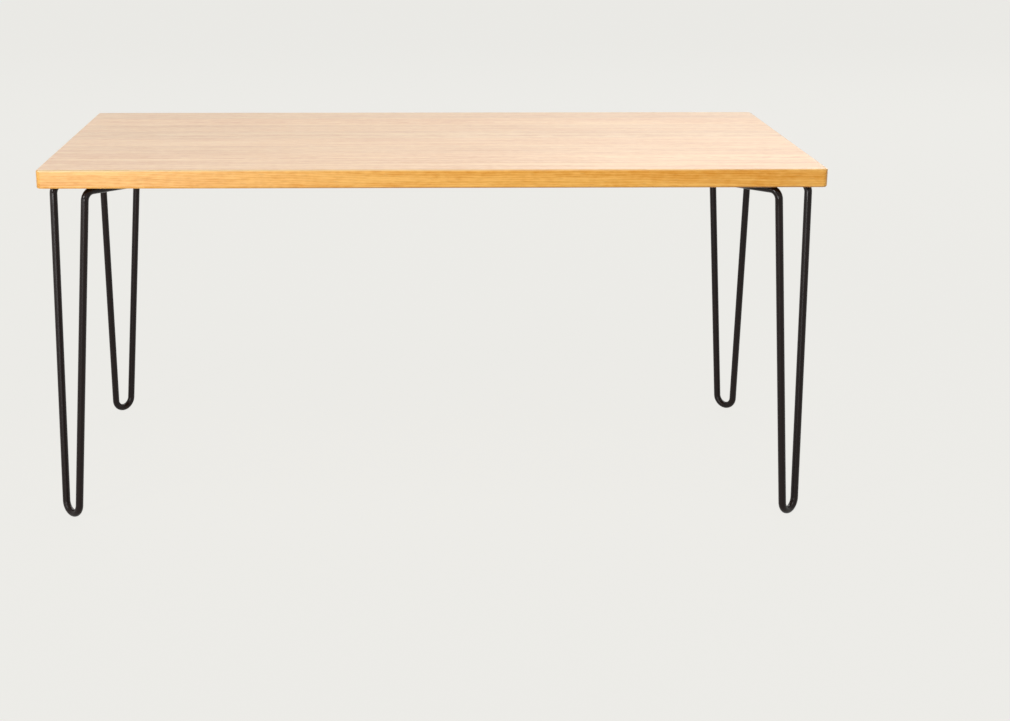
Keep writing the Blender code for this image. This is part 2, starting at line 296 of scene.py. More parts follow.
def combine(obj: Object, tool: Object, operation: str) -> None:
    """Cut an object with a tool, or join the two, by an exact Boolean. The tool goes."""
    modify(obj, "BOOLEAN", object=tool, operation=operation, solver="EXACT")
    discard(tool)


def discard(obj: Object) -> None:
    """Remove an object that only helped to make others, by way of its mesh."""
    bpy.data.meshes.remove(obj.data)


def face_out() -> None:
    """Turn in edit mode all faces outwards."""
    bpy.ops.mesh.select_all(action="SELECT")
    bpy.ops.mesh.normals_make_consistent(inside=False)


def shade(obj: Object, degrees: float = 32.0) -> None:
    """Shade an object smooth, with flat faces kept flat and real edges kept sharp.

    Args:
        obj: The object.
        degrees: How sharp a real edge is at least.
    """
    take(obj)
    bpy.ops.object.shade_smooth_by_angle(angle=math.radians(degrees))
    modify(obj, "WEIGHTED_NORMAL", keep_sharp=True)


def copy(obj: Object, name: str, place: Matrix) -> Object:
    """Copy an object with a mesh of its own.

    Args:
        obj: The object to copy.
        name: The copy's name.
        place: Where the copy goes. The move is made in its mesh.

    Returns:
        The copy, at the origin.
    """
    mesh = obj.data.copy()
    mesh.name = name
    mesh.transform(place)
    return add(name, mesh)


def over(node: str) -> Matrix:
    """The move along the floor from the Z axis to a solid's middle."""
    low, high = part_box(node)
    return Matrix.Translation(((low.x + high.x) / 2, (low.y + high.y) / 2, 0.0))


def fit(obj: Object, finish: Material, node: str) -> None:
    """Dress a finished piece and put it in the place of its solid.

    Args:
        obj: The finished piece.
        finish: Its material.
        node: The solid that it stands for.
    """
    obj.data.materials.clear()
    obj.data.materials.append(finish)
    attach(obj, BODY)
    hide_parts(node)
    LOG.info("%s stands for %s, with %d faces", obj.name, node, len(obj.data.polygons))


class Value:
    """A number in a shader, which can be used in a Python expression."""

    def __init__(self, shader: "Shader", socket: bpy.types.NodeSocket) -> None:
        """Wrap an output socket of a shader's node."""
        self.shader = shader
        self.socket = socket

    def math(self, operation: str, *terms: Term) -> "Value":
        """Add a Math node that takes these terms."""
        return self.shader.node("Math", {"operation": operation}, dict(enumerate(terms)))

    def __add__(self, other: Term) -> "Value":
        """Add a term."""
        return self.math("ADD", self, other)

    def __sub__(self, other: Term) -> "Value":
        """Take a term away."""
        return self.math("SUBTRACT", self, other)

    def __rsub__(self, other: Term) -> "Value":
        """Take this value away from a term."""
        return self.math("SUBTRACT", other, self)

    def __mul__(self, other: Term) -> "Value":
        """Multiply by a term."""
        return self.math("MULTIPLY", self, other)

    __radd__ = __add__
    __rmul__ = __mul__

    def power(self, exponent: Term) -> "Value":
        """Raise to a power."""
        return self.math("POWER", self, exponent)

    def swing(self, reach: float) -> "Value":
        """Centre noise between 0 and 1 on zero, and give it a reach from end to end."""
        return (self - 0.5) * reach

    def fraction(self) -> "Value":
        """Keep only what follows the decimal point."""
        return self.math("FRACT", self)

    def size(self) -> "Value":
        """Drop the sign."""
        return self.math("ABSOLUTE", self)

    def at_least(self, other: Term) -> "Value":
        """Take the larger of this and another term."""
        return self.math("MAXIMUM", self, other)

    def between(self, least: float, most: float) -> "Value":
        """Keep within limits."""
        return self.math("MINIMUM", self.at_least(least), most)

    def ramp(self, start: float, end: float) -> "Value":
        """Rise smoothly from 0 to 1 between two values."""
        limits = {"Value": self, "From Min": start, "From Max": end}
        return self.shader.node("MapRange", {"interpolation_type": "SMOOTHSTEP"}, limits)


@dataclass(frozen=True)
class Texture:
    """Noise stretched along each axis: how often it varies in a metre, and how finely."""

    per_metre: Triple
    detail: float = 2.0
    roughness: float = 0.5


class Shader:
    """A node tree, written as expressions."""

    def __init__(self, owner: Union[Material, World]) -> None:
        """Start a tree.

        Args:
            owner: The new material or world that it belongs to.
        """
        owner.use_nodes = True
        self.owner = owner
        self.tree = owner.node_tree
        self.output = next(node for node in self.tree.nodes if "Surface" in node.inputs)
        self.surface = self.output.inputs["Surface"].links[0].from_node

    @cached_property
    def place(self) -> Value:
        """The object's own coordinates."""
        return self.node("TexCoord", {}, {}, "Object")

    def node(
        self, kind: str, settings: dict[str, Any], sockets: dict[Key, Any], output: Key = 0
    ) -> Value:
        """Add a node.

        Args:
            kind: The node's type, without the word ShaderNode.
            settings: Its settings, which are set first.
            sockets: What goes into its sockets, as values or numbers.
            output: The output that is wanted.

        Returns:
            The wanted output.
        """
        made = self.tree.nodes.new(f"ShaderNode{kind}")
        for name, value in settings.items():
            setattr(made, name, value)
        for name, value in sockets.items():
            self.feed(made.inputs[name], value)
        return Value(self, made.outputs[output])

    def feed(self, socket: bpy.types.NodeSocket, value: Any) -> None:
        """Link a value to a socket, or set the socket's own number.

        Args:
            socket: The socket.
            value: A value of the shader's, a number, a colour or a vector.
        """
        if isinstance(value, Value):
            self.tree.links.new(value.socket, socket)
        elif socket.type == "RGBA" and len(value) == 3:
            socket.default_value = (*value, 1.0)
        else:
            socket.default_value = value

    def surface_takes(self, **sockets: Any) -> None:
        """Set the Principled shader's sockets, named with _ for a space."""
        for name, value in sockets.items():
            self.feed(self.surface.inputs[name.replace("_", " ")], value)

    def show_apart(self, lighting: Value, shown: Value, share: float = 1.0) -> None:
        """Give what is seen another shader than what only lights.

        Args:
            lighting: The shader that other light meets.
            shown: The shader that the camera and glossy or clear surfaces see.
            share: How much of it they see.
        """
        rays = ("Is Camera Ray", "Is Glossy Ray", "Is Transmission Ray")
        camera, glossy, clear = (self.node("LightPath", {}, {}, ray) for ray in rays)
        seen = camera.at_least(glossy).at_least(clear) * share
        both = self.node("MixShader", {}, {0: seen, 1: lighting, 2: shown})
        self.feed(self.output.inputs["Surface"], both)

    def axis(self, source: Value, name: str) -> Value:
        """One coordinate of a vector."""
        return self.node("SeparateXYZ", {}, {0: source}, name)

    def noise(self, where: Value, detail: float, roughness: float = 0.5, output: Key = 0) -> Value:
        """Noise between 0 and 1, one unit across. Its Color has three unlike parts."""
        sockets = {"Vector": where, "Scale": 1.0, "Detail": detail, "Roughness": roughness}
        return self.node("TexNoise", {}, sockets, output)

    def texture(self, texture: Texture, shift: float = 0.0, output: Key = 0) -> Value:
        """Lay a texture on the object's own coordinates.

        Args:
            texture: The texture.
            shift: How far it is moved along each axis.
            output: The noise's output that is wanted.

        Returns:
            The wanted output.
        """
        moved = {0: self.place, 1: (shift, shift, shift)}
        scaled = {0: self.node("VectorMath", {"operation": "ADD"}, moved), 1: texture.per_metre}
        where = self.node("VectorMath", {"operation": "MULTIPLY"}, scaled)
        return self.noise(where, texture.detail, texture.roughness, output)

    def mix(self, share: Term, first: Any, second: Any, blend: str = "MIX") -> Value:
        """Blend two colours."""
        settings = {"data_type": "RGBA", "blend_type": blend, "clamp_factor": False}
        return self.node("Mix", settings, {0: share, 6: first, 7: second}, 2)

    def bump(self, height: Value, depth: float, strength: float) -> Value:
        """Turn a height between 0 and 1 into a normal."""
        sockets = {"Strength": strength, "Distance": depth, "Height": height}
        return self.node("Bump", {}, sockets, "Normal")


def weigh(parts: tuple[Value, ...], weights: tuple[float, ...]) -> Value:
    """Add values up, each by its own weight."""
    return reduce(Value.__add__, (part * weight for part, weight in zip(parts, weights)))


@dataclass(frozen=True)
class BoardCut:
    """Where one board came from in its log, and its tone."""

    heart_y: float
    heart_z: float
    slope_y: float
    slope_z: float
    ring_pitch: float
    tone: float
    redness: float
    seed: float


@dataclass(frozen=True)
class TimberFinish:
    """Honey-coloured timber with pores in its early wood, under a satin lacquer.

    A pale band on the upper arris and the ends is a painted highlight, stronger to the left.
    A darker band on the lower arris, fading out to the left, is painted shade under the edge.
    Each fade is a pair of distances from an edge of the top, or of places along it.
    """

    early: Color = (0.865, 0.425, 0.068)
    late: Color = (0.725, 0.277, 0.012)
    pore: Color = (0.480, 0.155, 0.010)
    end_tint: Color = (0.84, 0.74, 0.62)
    # Pale colour of the painted highlight along the upper arris.
    worn: Color = (0.950, 0.720, 0.400)
    # Dark colour of the painted shade along the lower arris.
    pooled: Color = (0.400, 0.140, 0.014)
    roughness: float = 0.36
    lacquer: float = 1.02
    specular: float = 0.15
    grain_depth: float = 0.00006
    grain_relief: float = 0.5
    waver: Texture = Texture((1.3, 4.0, 4.0), 1.0)
    waver_reach: Pair = (0.030, 0.024)
    quiver: Texture = Texture((11.0, 30.0, 30.0))
    quiver_reach: float = 0.0046
    growth_per_metre: float = 120.0
    growth_swing: float = 1.8
    dash: Texture = Texture((48.0, 135.0, 135.0), 3.0, 0.6)
    fibre: Texture = Texture((7.0, 160.0, 160.0), 3.0, 0.6)
    hair: Texture = Texture((12.0, 950.0, 950.0))
    streak: Texture = Texture((0.9, 48.0, 48.0), 2.0, 0.55)
    cloud: Texture = Texture((3.0, 12.0, 12.0), 1.0)
    cell: Texture = Texture((48.0, 1000.0, 1000.0), 1.0)
    smear: Texture = Texture((24.0, 60.0, 60.0))
    late_wood: Pair = (0.20, 0.85)
    late_depth: float = 0.60
    year_end: Pair = (0.90, 1.0)
    pore_wood: Pair = (0.14, 0.40)
    pore_edge: Pair = (0.52, 0.68)
    pore_share: float = 0.42
    grain_sways: tuple[float, ...] = (1.9, 1.8, 0.6, 1.8, 0.90)
    paling: float = 0.02
    depth_limits: Pair = (-0.4, 1.1)
    dulling: tuple[float, ...] = (0.10, 0.06, 0.1, 0.12)
    dulling_mean: float = 0.08
    relief: Triple = (0.35, 0.35, 0.60)
    lacquer_loss: float = 0.26
    end_fade: Pair = (0.0025, 0.0005)
    end_contrast: float = 1.1
    end_paling: float = 0.35
    end_evening: float = 0.35
    end_tinting: Pair = (0.65, 0.6)
    # From here: the painted highlight on the upper arris, then the painted shade on the lower one.
    rim_fade: Pair = (0.0034, 0.0014)
    rub_fade: Pair = (0.0034, 0.0012)
    rub_tilt: float = 0.0011
    wear_share: float = 0.58
    wear_cloud: Pair = (0.35, 0.75)
    wear_swing: float = 0.30
    wear_tilt: float = 0.18
    # Where the painted shade along the lower arris lies, and how dark it is.
    pool_fade: Pair = (0.0012, 0.0036)
    pool_reach: Pair = (-0.62, -0.15)
    pool_share: Pair = (0.55, 0.3)

    def season(self, shader: Shader, cut: BoardCut) -> Value:
        """Say how far through a year's growth the timber is.

        Args:
            shader: The board's shader.
            cut: Where the board came from in its log.

        Returns:
            0 in spring to 1 at the year's end.
        """
        x, y, z = (shader.axis(shader.place, axis) for axis in "XYZ")
        waver = shader.texture(self.waver, cut.seed, "Color")
        quiver = shader.texture(self.quiver, cut.seed, "Color")
        across = y - cut.heart_y - x * cut.slope_y
        across = across + shader.axis(waver, "Y").swing(self.waver_reach[0])
        across = across + shader.axis(quiver, "Y").swing(self.quiver_reach)
        above = z - cut.heart_z - x * cut.slope_z
        above = above + shader.axis(waver, "Z").swing(self.waver_reach[1])
        above = above + shader.axis(quiver, "Z").swing(self.quiver_reach)
        radius = (across * across + above * above).power(0.5)
        place = {"X": radius * self.growth_per_metre, "Y": cut.seed}
        growth = shader.noise(shader.node("CombineXYZ", {}, place), 1.0)
        return (radius * (1.0 / cut.ring_pitch) + growth * self.growth_swing).fraction()

    def material(self, name: str, cut: BoardCut, underside: float) -> Material:
        """Make one board's material. Its rings run through the board as they grew.

        Args:
            name: The material's name.
            cut: Where the board came from in its log.
            underside: Height of the top's underside.

        Returns:
            The material.
        """
        high = CAD_BOX[1]
        shader = Shader(bpy.data.materials.new(name))
        x, y, z = (shader.axis(shader.place, axis) for axis in "XYZ")
        season = self.season(shader, cut)
        late = season.ramp(*self.late_wood) * (1.0 - season.ramp(*self.year_end))
        fine = (self.dash, self.fibre, self.hair, self.cell)
        dash, fibre, hair, cell = (shader.texture(each, cut.seed) for each in fine)
        coarse = (self.streak, self.cloud, self.smear)
        streak, cloud, smear = (shader.texture(each, cut.seed) for each in coarse)
        pores = cell.ramp(*self.pore_edge) * (1.0 - season.ramp(*self.pore_wood)) * self.pore_share

        depth = late * self.late_depth
        for part, sway in zip((dash, fibre, hair, streak, cloud), self.grain_sways):
            depth = depth + part.swing(sway)
        depth = depth - self.paling
        end_grain = x.size().ramp(*(high.x - inset for inset in self.end_fade))
        sawn = late * self.end_contrast - self.end_paling - depth * self.end_evening
        depth = depth + end_grain * sawn
        color = shader.mix(depth.between(*self.depth_limits), self.early, self.late)
        color = shader.mix(pores * (1.0 + end_grain), color, self.pore)
        tinting = end_grain * (late * self.end_tinting[1] + self.end_tinting[0])
        color = shader.mix(tinting, color, self.end_tint, "MULTIPLY")
        # Painted highlight: a pale band on the upper arris and the ends, stronger to the left.
        rim = y.size().ramp(*(high.y - inset for inset in self.rim_fade)).at_least(end_grain)
        rubbed = (z - x * self.rub_tilt).ramp(*(high.z - drop for drop in self.rub_fade))
        bare = cloud.ramp(*self.wear_cloud) * self.wear_swing - x * self.wear_tilt
        arris_highlight = rim * rubbed * (bare + self.wear_share)
        color = shader.mix(arris_highlight, color, self.worn)
        # Painted shade: a darker band on the lower arris, fading out to the left.
        near_underside = 1.0 - z.ramp(*(underside + rise for rise in self.pool_fade))
        run = rim * near_underside * x.ramp(*self.pool_reach)
        run = run * (cloud * self.pool_share[1] + self.pool_share[0])
        color = shader.mix(run, color, self.pooled)
        tint = (cut.tone * (1.0 + cut.redness), cut.tone, cut.tone * (1.0 - 2.0 * cut.redness))
        color = shader.mix(1.0, color, tint, "MULTIPLY")

        dulled = weigh((smear, fibre, arris_highlight, end_grain), self.dulling)
        relief = weigh((fibre, dash, 1.0 - pores), self.relief)
        shader.surface_takes(
            Base_Color=color,
            Roughness=dulled + (self.roughness - self.dulling_mean),
            Specular_IOR_Level=self.specular,
            Coat_Weight=self.lacquer - depth * self.lacquer_loss,
            Coat_Roughness=self.roughness,
            Normal=shader.bump(relief, self.grain_depth, self.grain_relief),
        )
        return shader.owner


@dataclass(frozen=True)
class PowderCoat:
    """Satin black powder coat on steel: a fine orange peel, rubbed dull where it is touched.

    The film flows out smoother round the bends under the top than on the straights.
    """

    color: Color = (0.0080, 0.0030, 0.0024)
    rubbed: Color = (0.034, 0.026, 0.023)
    brighter: float = 1.5
    bright_from: float = 0.3
    bright_share: float = 0.5
    roughness: float = 0.31
    dulling: Triple = (0.08, 0.04, 0.25)
    dulling_mean: float = 0.05
    smoother: float = 0.17
    smooth_above: Pair = (0.664, 0.688)
    specular: float = 0.22
    peel: Texture = Texture((620.0, 620.0, 620.0), 2.0, 0.45)
    peel_depth: float = 0.00005
    peel_relief: float = 0.35
    patch: Texture = Texture((38.0, 38.0, 38.0), 3.0, 0.6)
    rubbed_edge: Pair = (0.62, 0.72)
    rubbed_share: float = 0.10
    broad: Texture = Texture((9.0, 9.0, 9.0), 1.0)
    grit: Texture = Texture((260.0, 260.0, 260.0), 3.0)
    grit_share: float = 0.8

    def material(self, name: str, scuffed_below: float = 0.0) -> Material:
        """Make the coat.

        Args:
            name: The material's name.
            scuffed_below: The height below which the floor has scuffed it.

        Returns:
            The material.
        """
        shader = Shader(bpy.data.materials.new(name))
        peel, patch, broad = map(shader.texture, (self.peel, self.patch, self.broad))
        scuff = patch.ramp(*self.rubbed_edge) * self.rubbed_share
        height = shader.axis(shader.place, "Z")
        if scuffed_below:
            floor_wear = 1.0 - height.ramp(0.0, scuffed_below)
            scuff = scuff + floor_wear * shader.texture(self.grit) * self.grit_share
        color = shader.mix(scuff, self.color, self.rubbed)
        bright = tuple(part * self.brighter for part in self.color)
        color = shader.mix((broad - self.bright_from) * self.bright_share, color, bright)
        dulled = weigh((patch, peel, scuff), self.dulling) + (self.roughness - self.dulling_mean)
        shader.surface_takes(
            Base_Color=color,
            Roughness=dulled - height.ramp(*self.smooth_above) * self.smoother,
            Specular_IOR_Level=self.specular,
            Normal=shader.bump(peel, self.peel_depth, self.peel_relief),
        )
        return shader.owner


@dataclass(frozen=True)
class BlackOxide:
    """Blackened steel: a dark metal with fine turning marks and worn spots."""

    color: Color = (0.050, 0.050, 0.054)
    bare: Color = (0.30, 0.29, 0.28)
    metallic: float = 0.9
    metal_loss: float = 0.2
    roughness: float = 0.34
    dulling: Pair = (0.16, 0.1)
    dulling_mean: float = 0.08
    marks: Texture = Texture((1800.0, 1800.0, 1800.0))
    mark_depth: float = 0.00002
    mark_relief: float = 0.3
    patch: Texture = Texture((420.0, 420.0, 420.0), 3.0, 0.6)
    worn_edge: Pair = (0.60, 0.74)
    worn_share: float = 0.35

    def material(self, name: str) -> Material:
        """Make the finish.

        Args:
            name: The material's name.

        Returns:
            The material.
        """
        shader = Shader(bpy.data.materials.new(name))
        marks, patch = map(shader.texture, (self.marks, self.patch))
        worn = patch.ramp(*self.worn_edge) * self.worn_share
        dulled = weigh((marks, worn), self.dulling)
        shader.surface_takes(
            Base_Color=shader.mix(worn, self.color, self.bare),
            Metallic=self.metallic - worn * self.metal_loss,
            Roughness=dulled + (self.roughness - self.dulling_mean),
            Normal=shader.bump(marks, self.mark_depth, self.mark_relief),
        )
        return shader.owner


@dataclass(frozen=True)
class MachinedBrass:
    """Plain brass as it comes off the lathe, slightly dulled."""

    color: Color = (0.62, 0.44, 0.18)
    dull: Color = (0.36, 0.24, 0.10)
    roughness: float = 0.30
    dulling: Pair = (0.15, 0.08)
    rings: Texture = Texture((90.0, 90.0, 5200.0), 1.0)
    ring_depth: float = 0.00002
    ring_relief: float = 0.4
    stain: Texture = Texture((240.0, 240.0, 240.0), 3.0)
    stain_edge: Pair = (0.45, 0.75)
    stain_share: float = 0.6

    def material(self, name: str) -> Material:
        """Make the finish.

        Args:
            name: The material's name.

        Returns:
            The material.
        """
        shader = Shader(bpy.data.materials.new(name))
        rings, stain = map(shader.texture, (self.rings, self.stain))
        stained = stain.ramp(*self.stain_edge) * self.stain_share
        shader.surface_takes(
            Base_Color=shader.mix(stained, self.color, self.dull),
            Metallic=1.0,
            Roughness=weigh((stain, rings), self.dulling) + self.roughness,
            Normal=shader.bump(rings, self.ring_depth, self.ring_relief),
        )
        return shader.owner


@dataclass
class BoardTop:
    """The top: boards glued edge to edge, with all its outer edges eased.

    The solids leave a narrow gap for each glue line. Here the boards meet in it.
    """

    timber: TimberFinish
    board_count: int = 8
    corner_radius: float = 0.010
    corner_segments: int = 12
    arris_radius: float = 0.0035
    arris_segments: int = 6
    hole_gap: float = 0.0003
    hole_relief: float = 0.003
    hole_sides: int = 40
    overrun: float = 0.004
    figures: tuple[Figure, ...] = (
        Figure.RIFT, Figure.CATHEDRAL, Figure.RIFT, Figure.QUARTER,
        Figure.CATHEDRAL, Figure.RIFT, Figure.CATHEDRAL, Figure.RIFT,
    )
    log_seed: int = 41
    heart_shares: Pair = (0.8, 1.2)
    side_slopes: Pair = (-0.010, 0.010)
    rise_slopes: Pair = (-0.022, 0.022)
    ring_pitches: Pair = (0.0022, 0.0034)
    tones: Pair = (0.955, 1.03)
    redness_limits: Pair = (-0.012, 0.016)
    seeds: Pair = (3.0, 60.0)

    @staticmethod
    def node(index: int) -> str:
        """The name of a board's solid, counted from the front."""
        return f"top_board_{index + 1}"

    @property
    def underside(self) -> float:
        """Height of the top's underside."""
        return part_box(self.node(0))[0].z

    def slab(self) -> Object:
        """Model the whole top before it is parted into boards.

        Returns:
            A slab with rounded corners and eased edges.
        """
        low, high = CAD_BOX
        slab = block("slab", Vector((low.x, low.y, self.underside)), high)
        edit(slab)
        ease(is_upright, self.corner_radius, self.corner_segments)
        ease(is_rim, self.arris_radius, self.arris_segments)
        leave()
        return slab

    def bore_plug(self, node: str) -> Object:
        """Model what is bored out of the boards for one insert: a bore with a wide mouth.

        Args:
            node: The insert's solid.

        Returns:
            The plug, in its place.
        """
        low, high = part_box(node)
        flange = (high.x - low.x) / 2 + self.hole_gap
        mouth_top = low.z + ThreadedInsert.flange_thickness + self.hole_gap
        plug = disc("bore_plug", flange, low.z - self.overrun, mouth_top, self.hole_sides)
        bore = ThreadedInsert.radius + self.hole_gap
        edit(plug)
        pick(Kind.FACE, lambda face: face.normal.z > FACING)
        bpy.ops.mesh.inset(thickness=flange - bore)
        lift(high.z + self.hole_relief - mouth_top)
        leave()
        plug.data.transform(over(node))
        return plug

    def board(self, slab: Object, index: int) -> Object:
        """Saw one board from the slab.

        Args:
            slab: The whole top, already bored.
            index: The board's number from the front, from 0.

        Returns:
            The board.
        """
        board = copy(slab, f"lacquered_board_{index + 1}", Matrix())
        edit(board)
        for joint in (index - 1, index):
            if 0 <= joint < self.board_count - 1:
                bpy.ops.mesh.select_all(action="SELECT")
                bpy.ops.mesh.bisect(
                    plane_co=(0.0, self.joint(joint), 0.0),
                    plane_no=(0.0, 1.0, 0.0),
                    use_fill=True,
                    clear_inner=joint < index,
                    clear_outer=joint == index,
                )
        face_out()
        leave()
        shade(board)
        return board

    def joint(self, index: int) -> float:
        """Where a board meets the next one behind it."""
        return (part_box(self.node(index))[1].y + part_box(self.node(index + 1))[0].y) / 2

    def cut(self, index: int, chance: random.Random) -> BoardCut:
        """Choose where in its log a board was sawn.

        Args:
            index: The board's number from the front, from 0.
            chance: Where the luck of the draw comes from.

        Returns:
            The board's place in its log, and its tone.
        """
        low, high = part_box(self.node(index))
        beside, below = self.figures[index].value
        side = chance.choice((-1.0, 1.0))
        return BoardCut(
            heart_y=(low.y + high.y) / 2 + side * beside * chance.uniform(*self.heart_shares),
            heart_z=self.underside - below * chance.uniform(*self.heart_shares),
            slope_y=chance.uniform(*self.side_slopes),
            slope_z=chance.uniform(*self.rise_slopes),
            ring_pitch=chance.uniform(*self.ring_pitches),
            tone=chance.uniform(*self.tones),
            redness=chance.uniform(*self.redness_limits),
            seed=chance.uniform(*self.seeds),
        )

    def make(self) -> None:
        """Make all the boards and put them in place of their solids."""
        chance = random.Random(self.log_seed)
        slab = self.slab()
        plugs = [self.bore_plug(node) for corner in Corner for node in corner.fixings("insert")]
        join(plugs)
        combine(slab, plugs[0], "DIFFERENCE")
        for index in range(self.board_count):
            cut = self.cut(index, chance)
            finish = self.timber.material(f"board_timber_{index + 1}", cut, self.underside)
            fit(self.board(slab, index), finish, self.node(index))
        discard(slab)


@dataclass
class Hairpin:
    """One leg: a round rod bent at its foot and at both shoulders.

    Places are in the corner's frame, with X inwards from the top's corner on its diagonal.
    """

    coat: PowderCoat
    rod_radius: float = 0.008
    foot_inset: float = 0.0445
    shoulder_inset: float = 0.0790
    bar_offset: float = 0.05575
    bar_end: float = 0.185
    foot_bend: float = 0.0237
    shoulder_bend: float = 0.020
    sides: int = 48
    foot_steps: int = 48
    shoulder_steps: int = 20
    straight_steps: int = 6
    end_chamfer: float = 0.0006
    end_segments: int = 2
    scuff_height: float = 0.006

    @property
    def bar_height(self) -> float:
        """Height of the bars' middle, just under the top."""
        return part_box(f"hairpin_{Corner.FRONT_LEFT.words}")[1].z - self.rod_radius

    def corners(self) -> list[tuple[Vector, float]]:
        """List the points where the rod's straights would meet, each with its bend's radius.

        Returns:
            The first bar's end, its shoulder, the foot, the other shoulder and its bar's end.
        """
        rise = self.bar_height - self.rod_radius - self.foot_bend
        lean = math.atan2(self.shoulder_inset - self.foot_inset, rise)
        foot_height = CAD_BOX[0].z + self.rod_radius + self.foot_bend * math.cos(lean)
        foot = Vector((self.foot_inset, 0.0, foot_height))
        leg = Vector((self.shoulder_inset, 0.0, self.bar_height)) - foot
        reach = math.hypot(leg.length, self.bar_offset)
        opening = math.acos(self.foot_bend / reach) - math.atan2(leg.length, self.bar_offset)
        apex = foot - leg.normalized() * self.foot_bend / math.sin(opening)
        ends = []
        for offset in (self.bar_offset, -self.bar_offset):
            bar_end = Vector((self.bar_end, offset, self.bar_height))
            shoulder = Vector((self.shoulder_inset, offset, self.bar_height))
            ends.append([(bar_end, 0.0), (shoulder, self.shoulder_bend)])
        return [*ends[0], (apex, self.foot_bend), *reversed(ends[1])]

    def rod(self) -> Object:
        """Model the bent rod: a ring drawn along each straight and spun round each bend.

        Returns:
            The rod in the corner's frame.
        """
        stops = self.corners()
        at = stops[0][0]
        across = (0.0, math.pi / 2, 0.0)
        bpy.ops.mesh.primitive_circle_add(
            vertices=self.sides, radius=self.rod_radius, location=at, rotation=across
        )
        rod = named("bent_rod")
        edit(rod)
        for (_, _), (corner, radius), (after, _) in zip(stops, stops[1:], stops[2:]):
            back = (at - corner).normalized()
            ahead = (after - corner).normalized()
            half = back.angle(ahead) / 2
            self.straight(corner + back * radius / math.tan(half) - at)
            steps = self.foot_steps if radius == self.foot_bend else self.shoulder_steps
            bpy.ops.mesh.spin(
                steps=steps,
                angle=math.pi - 2 * half,
                center=corner + (back + ahead).normalized() * radius / math.sin(half),
                axis=back.cross(ahead).normalized(),
            )
            at = corner + ahead * radius / math.tan(half)
        self.straight(stops[-1][0] - at)
        self.close_ends()
        leave()
        shade(rod)
        return rod

    def straight(self, run: Vector) -> None:
        """Draw the ring along a straight, in a few steps.

        Args:
            run: The straight, from end to end.
        """
        step = {"value": run / self.straight_steps}
        for _ in range(self.straight_steps):
            bpy.ops.mesh.extrude_region_move(TRANSFORM_OT_translate=step)

    def close_ends(self) -> None:
        """Close the sawn ends of the bars and break their edges."""
        bpy.ops.mesh.select_all(action="SELECT")
        bpy.ops.mesh.fill_holes(sides=0)
        face_out()
        ease(
            lambda edge: any(len(face.verts) > QUAD for face in edge.link_faces),
            self.end_chamfer,
            self.end_segments,
        )

    def make(self) -> None:
        """Make the four legs and put them in place of their solids."""
        finish = self.coat.material("black_rod_coat", self.scuff_height)
        rod = self.rod()
        for corner in Corner:
            leg = copy(rod, f"bent_hairpin_{corner.words}", corner.place)
            fit(leg, finish, f"hairpin_{corner.words}")
        discard(rod)


@dataclass
class MountingPlate:
    """A steel plate between a hairpin's two bars, welded to them and bored for screws."""

    coat: PowderCoat
    start: float = 0.090
    length: float = 0.100
    thickness: float = 0.004
    half_width: float = 0.04848
    hole_radius: float = 0.0034
    hole_sides: int = 48
    corner_radius: float = 0.0025
    corner_segments: int = 8
    edge_radius: float = 0.0004
    edge_segments: int = 3
    weld_length: float = 0.025
    weld_starts: Pair = (0.102, 0.157)
    weld_leg: float = 0.0045
    weld_sink_shares: Pair = (0.28, 0.16)
    weld_tilt: float = 38.0
    weld_pitch: float = 0.0021
    ripple_shares: Triple = (1.25, 0.66, 0.36)
    ripple_sides: int = 24
    weld_grain: float = 0.0004

    @property
    def top(self) -> float:
        """Height of the plate's upper face."""
        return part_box(f"mounting_plate_{Corner.FRONT_LEFT.words}")[1].z

    def sheet_metal(self) -> Object:
        """Model the plate with rounded corners, broken edges and its four holes.

        Returns:
            The plate in the corner's frame.
        """
        low = Vector((self.start, -self.half_width, self.top - self.thickness))
        high = Vector((self.start + self.length, self.half_width, self.top))
        plate = block("plate", low, high)
        edit(plate)
        ease(is_upright, self.corner_radius, self.corner_segments)
        leave()
        to_corner = Corner.FRONT_LEFT.place.inverted()
        below = low.z - self.thickness
        above = high.z + self.thickness
        drills = []
        for node in Corner.FRONT_LEFT.fixings("screw"):
            drill = disc("drill", self.hole_radius, below, above, self.hole_sides)
            drill.data.transform(Matrix.Translation(to_corner @ over(node).translation))
            drills.append(drill)
        join(drills)
        combine(plate, drills[0], "DIFFERENCE")
        edit(plate)
        ease(is_rim, self.edge_radius, self.edge_segments)
        leave()
        return plate

    def weld(self, start: float, side: int) -> Object:
        """Model one weld as overlapping ripples melted into a bead.

        Args:
            start: Where the weld starts along X.
            side: The side of the plate, 1 or -1.

        Returns:
            The weld.
        """
        ripples = round(self.weld_length / self.weld_pitch)
        first = start + self.weld_pitch
        inwards, down = (self.weld_leg * share for share in self.weld_sink_shares)
        across = side * (self.half_width - inwards)
        height = self.top - self.thickness - down
        long, wide, thick = self.ripple_shares
        bpy.ops.mesh.primitive_uv_sphere_add(
            segments=self.ripple_sides,
            ring_count=self.ripple_sides * 2 // 3,
            radius=1.0,
            location=(first, across, height),
            rotation=(side * math.radians(self.weld_tilt), 0.0, 0.0),
            scale=(self.weld_pitch * long, self.weld_leg * wide, self.weld_leg * thick),
        )
        bead = named("weld")
        modify(
            bead,
            "ARRAY",
            count=ripples - 1,
            use_relative_offset=False,
            use_constant_offset=True,
            constant_offset_displace=(self.weld_pitch, 0.0, 0.0),
        )
        modify(bead, "REMESH", mode="VOXEL", voxel_size=self.weld_grain)
        return bead

    def make(self) -> None:
        """Make the four plates and put them in place of their solids."""
        finish = self.coat.material("black_plate_coat")
        plate = self.sheet_metal()
        for start in self.weld_starts:
            for side in (1, -1):
                combine(plate, self.weld(start, side), "UNION")
        shade(plate)
        for corner in Corner:
            piece = copy(plate, f"welded_plate_{corner.words}", corner.place)
            fit(piece, finish, f"mounting_plate_{corner.words}")
        discard(plate)


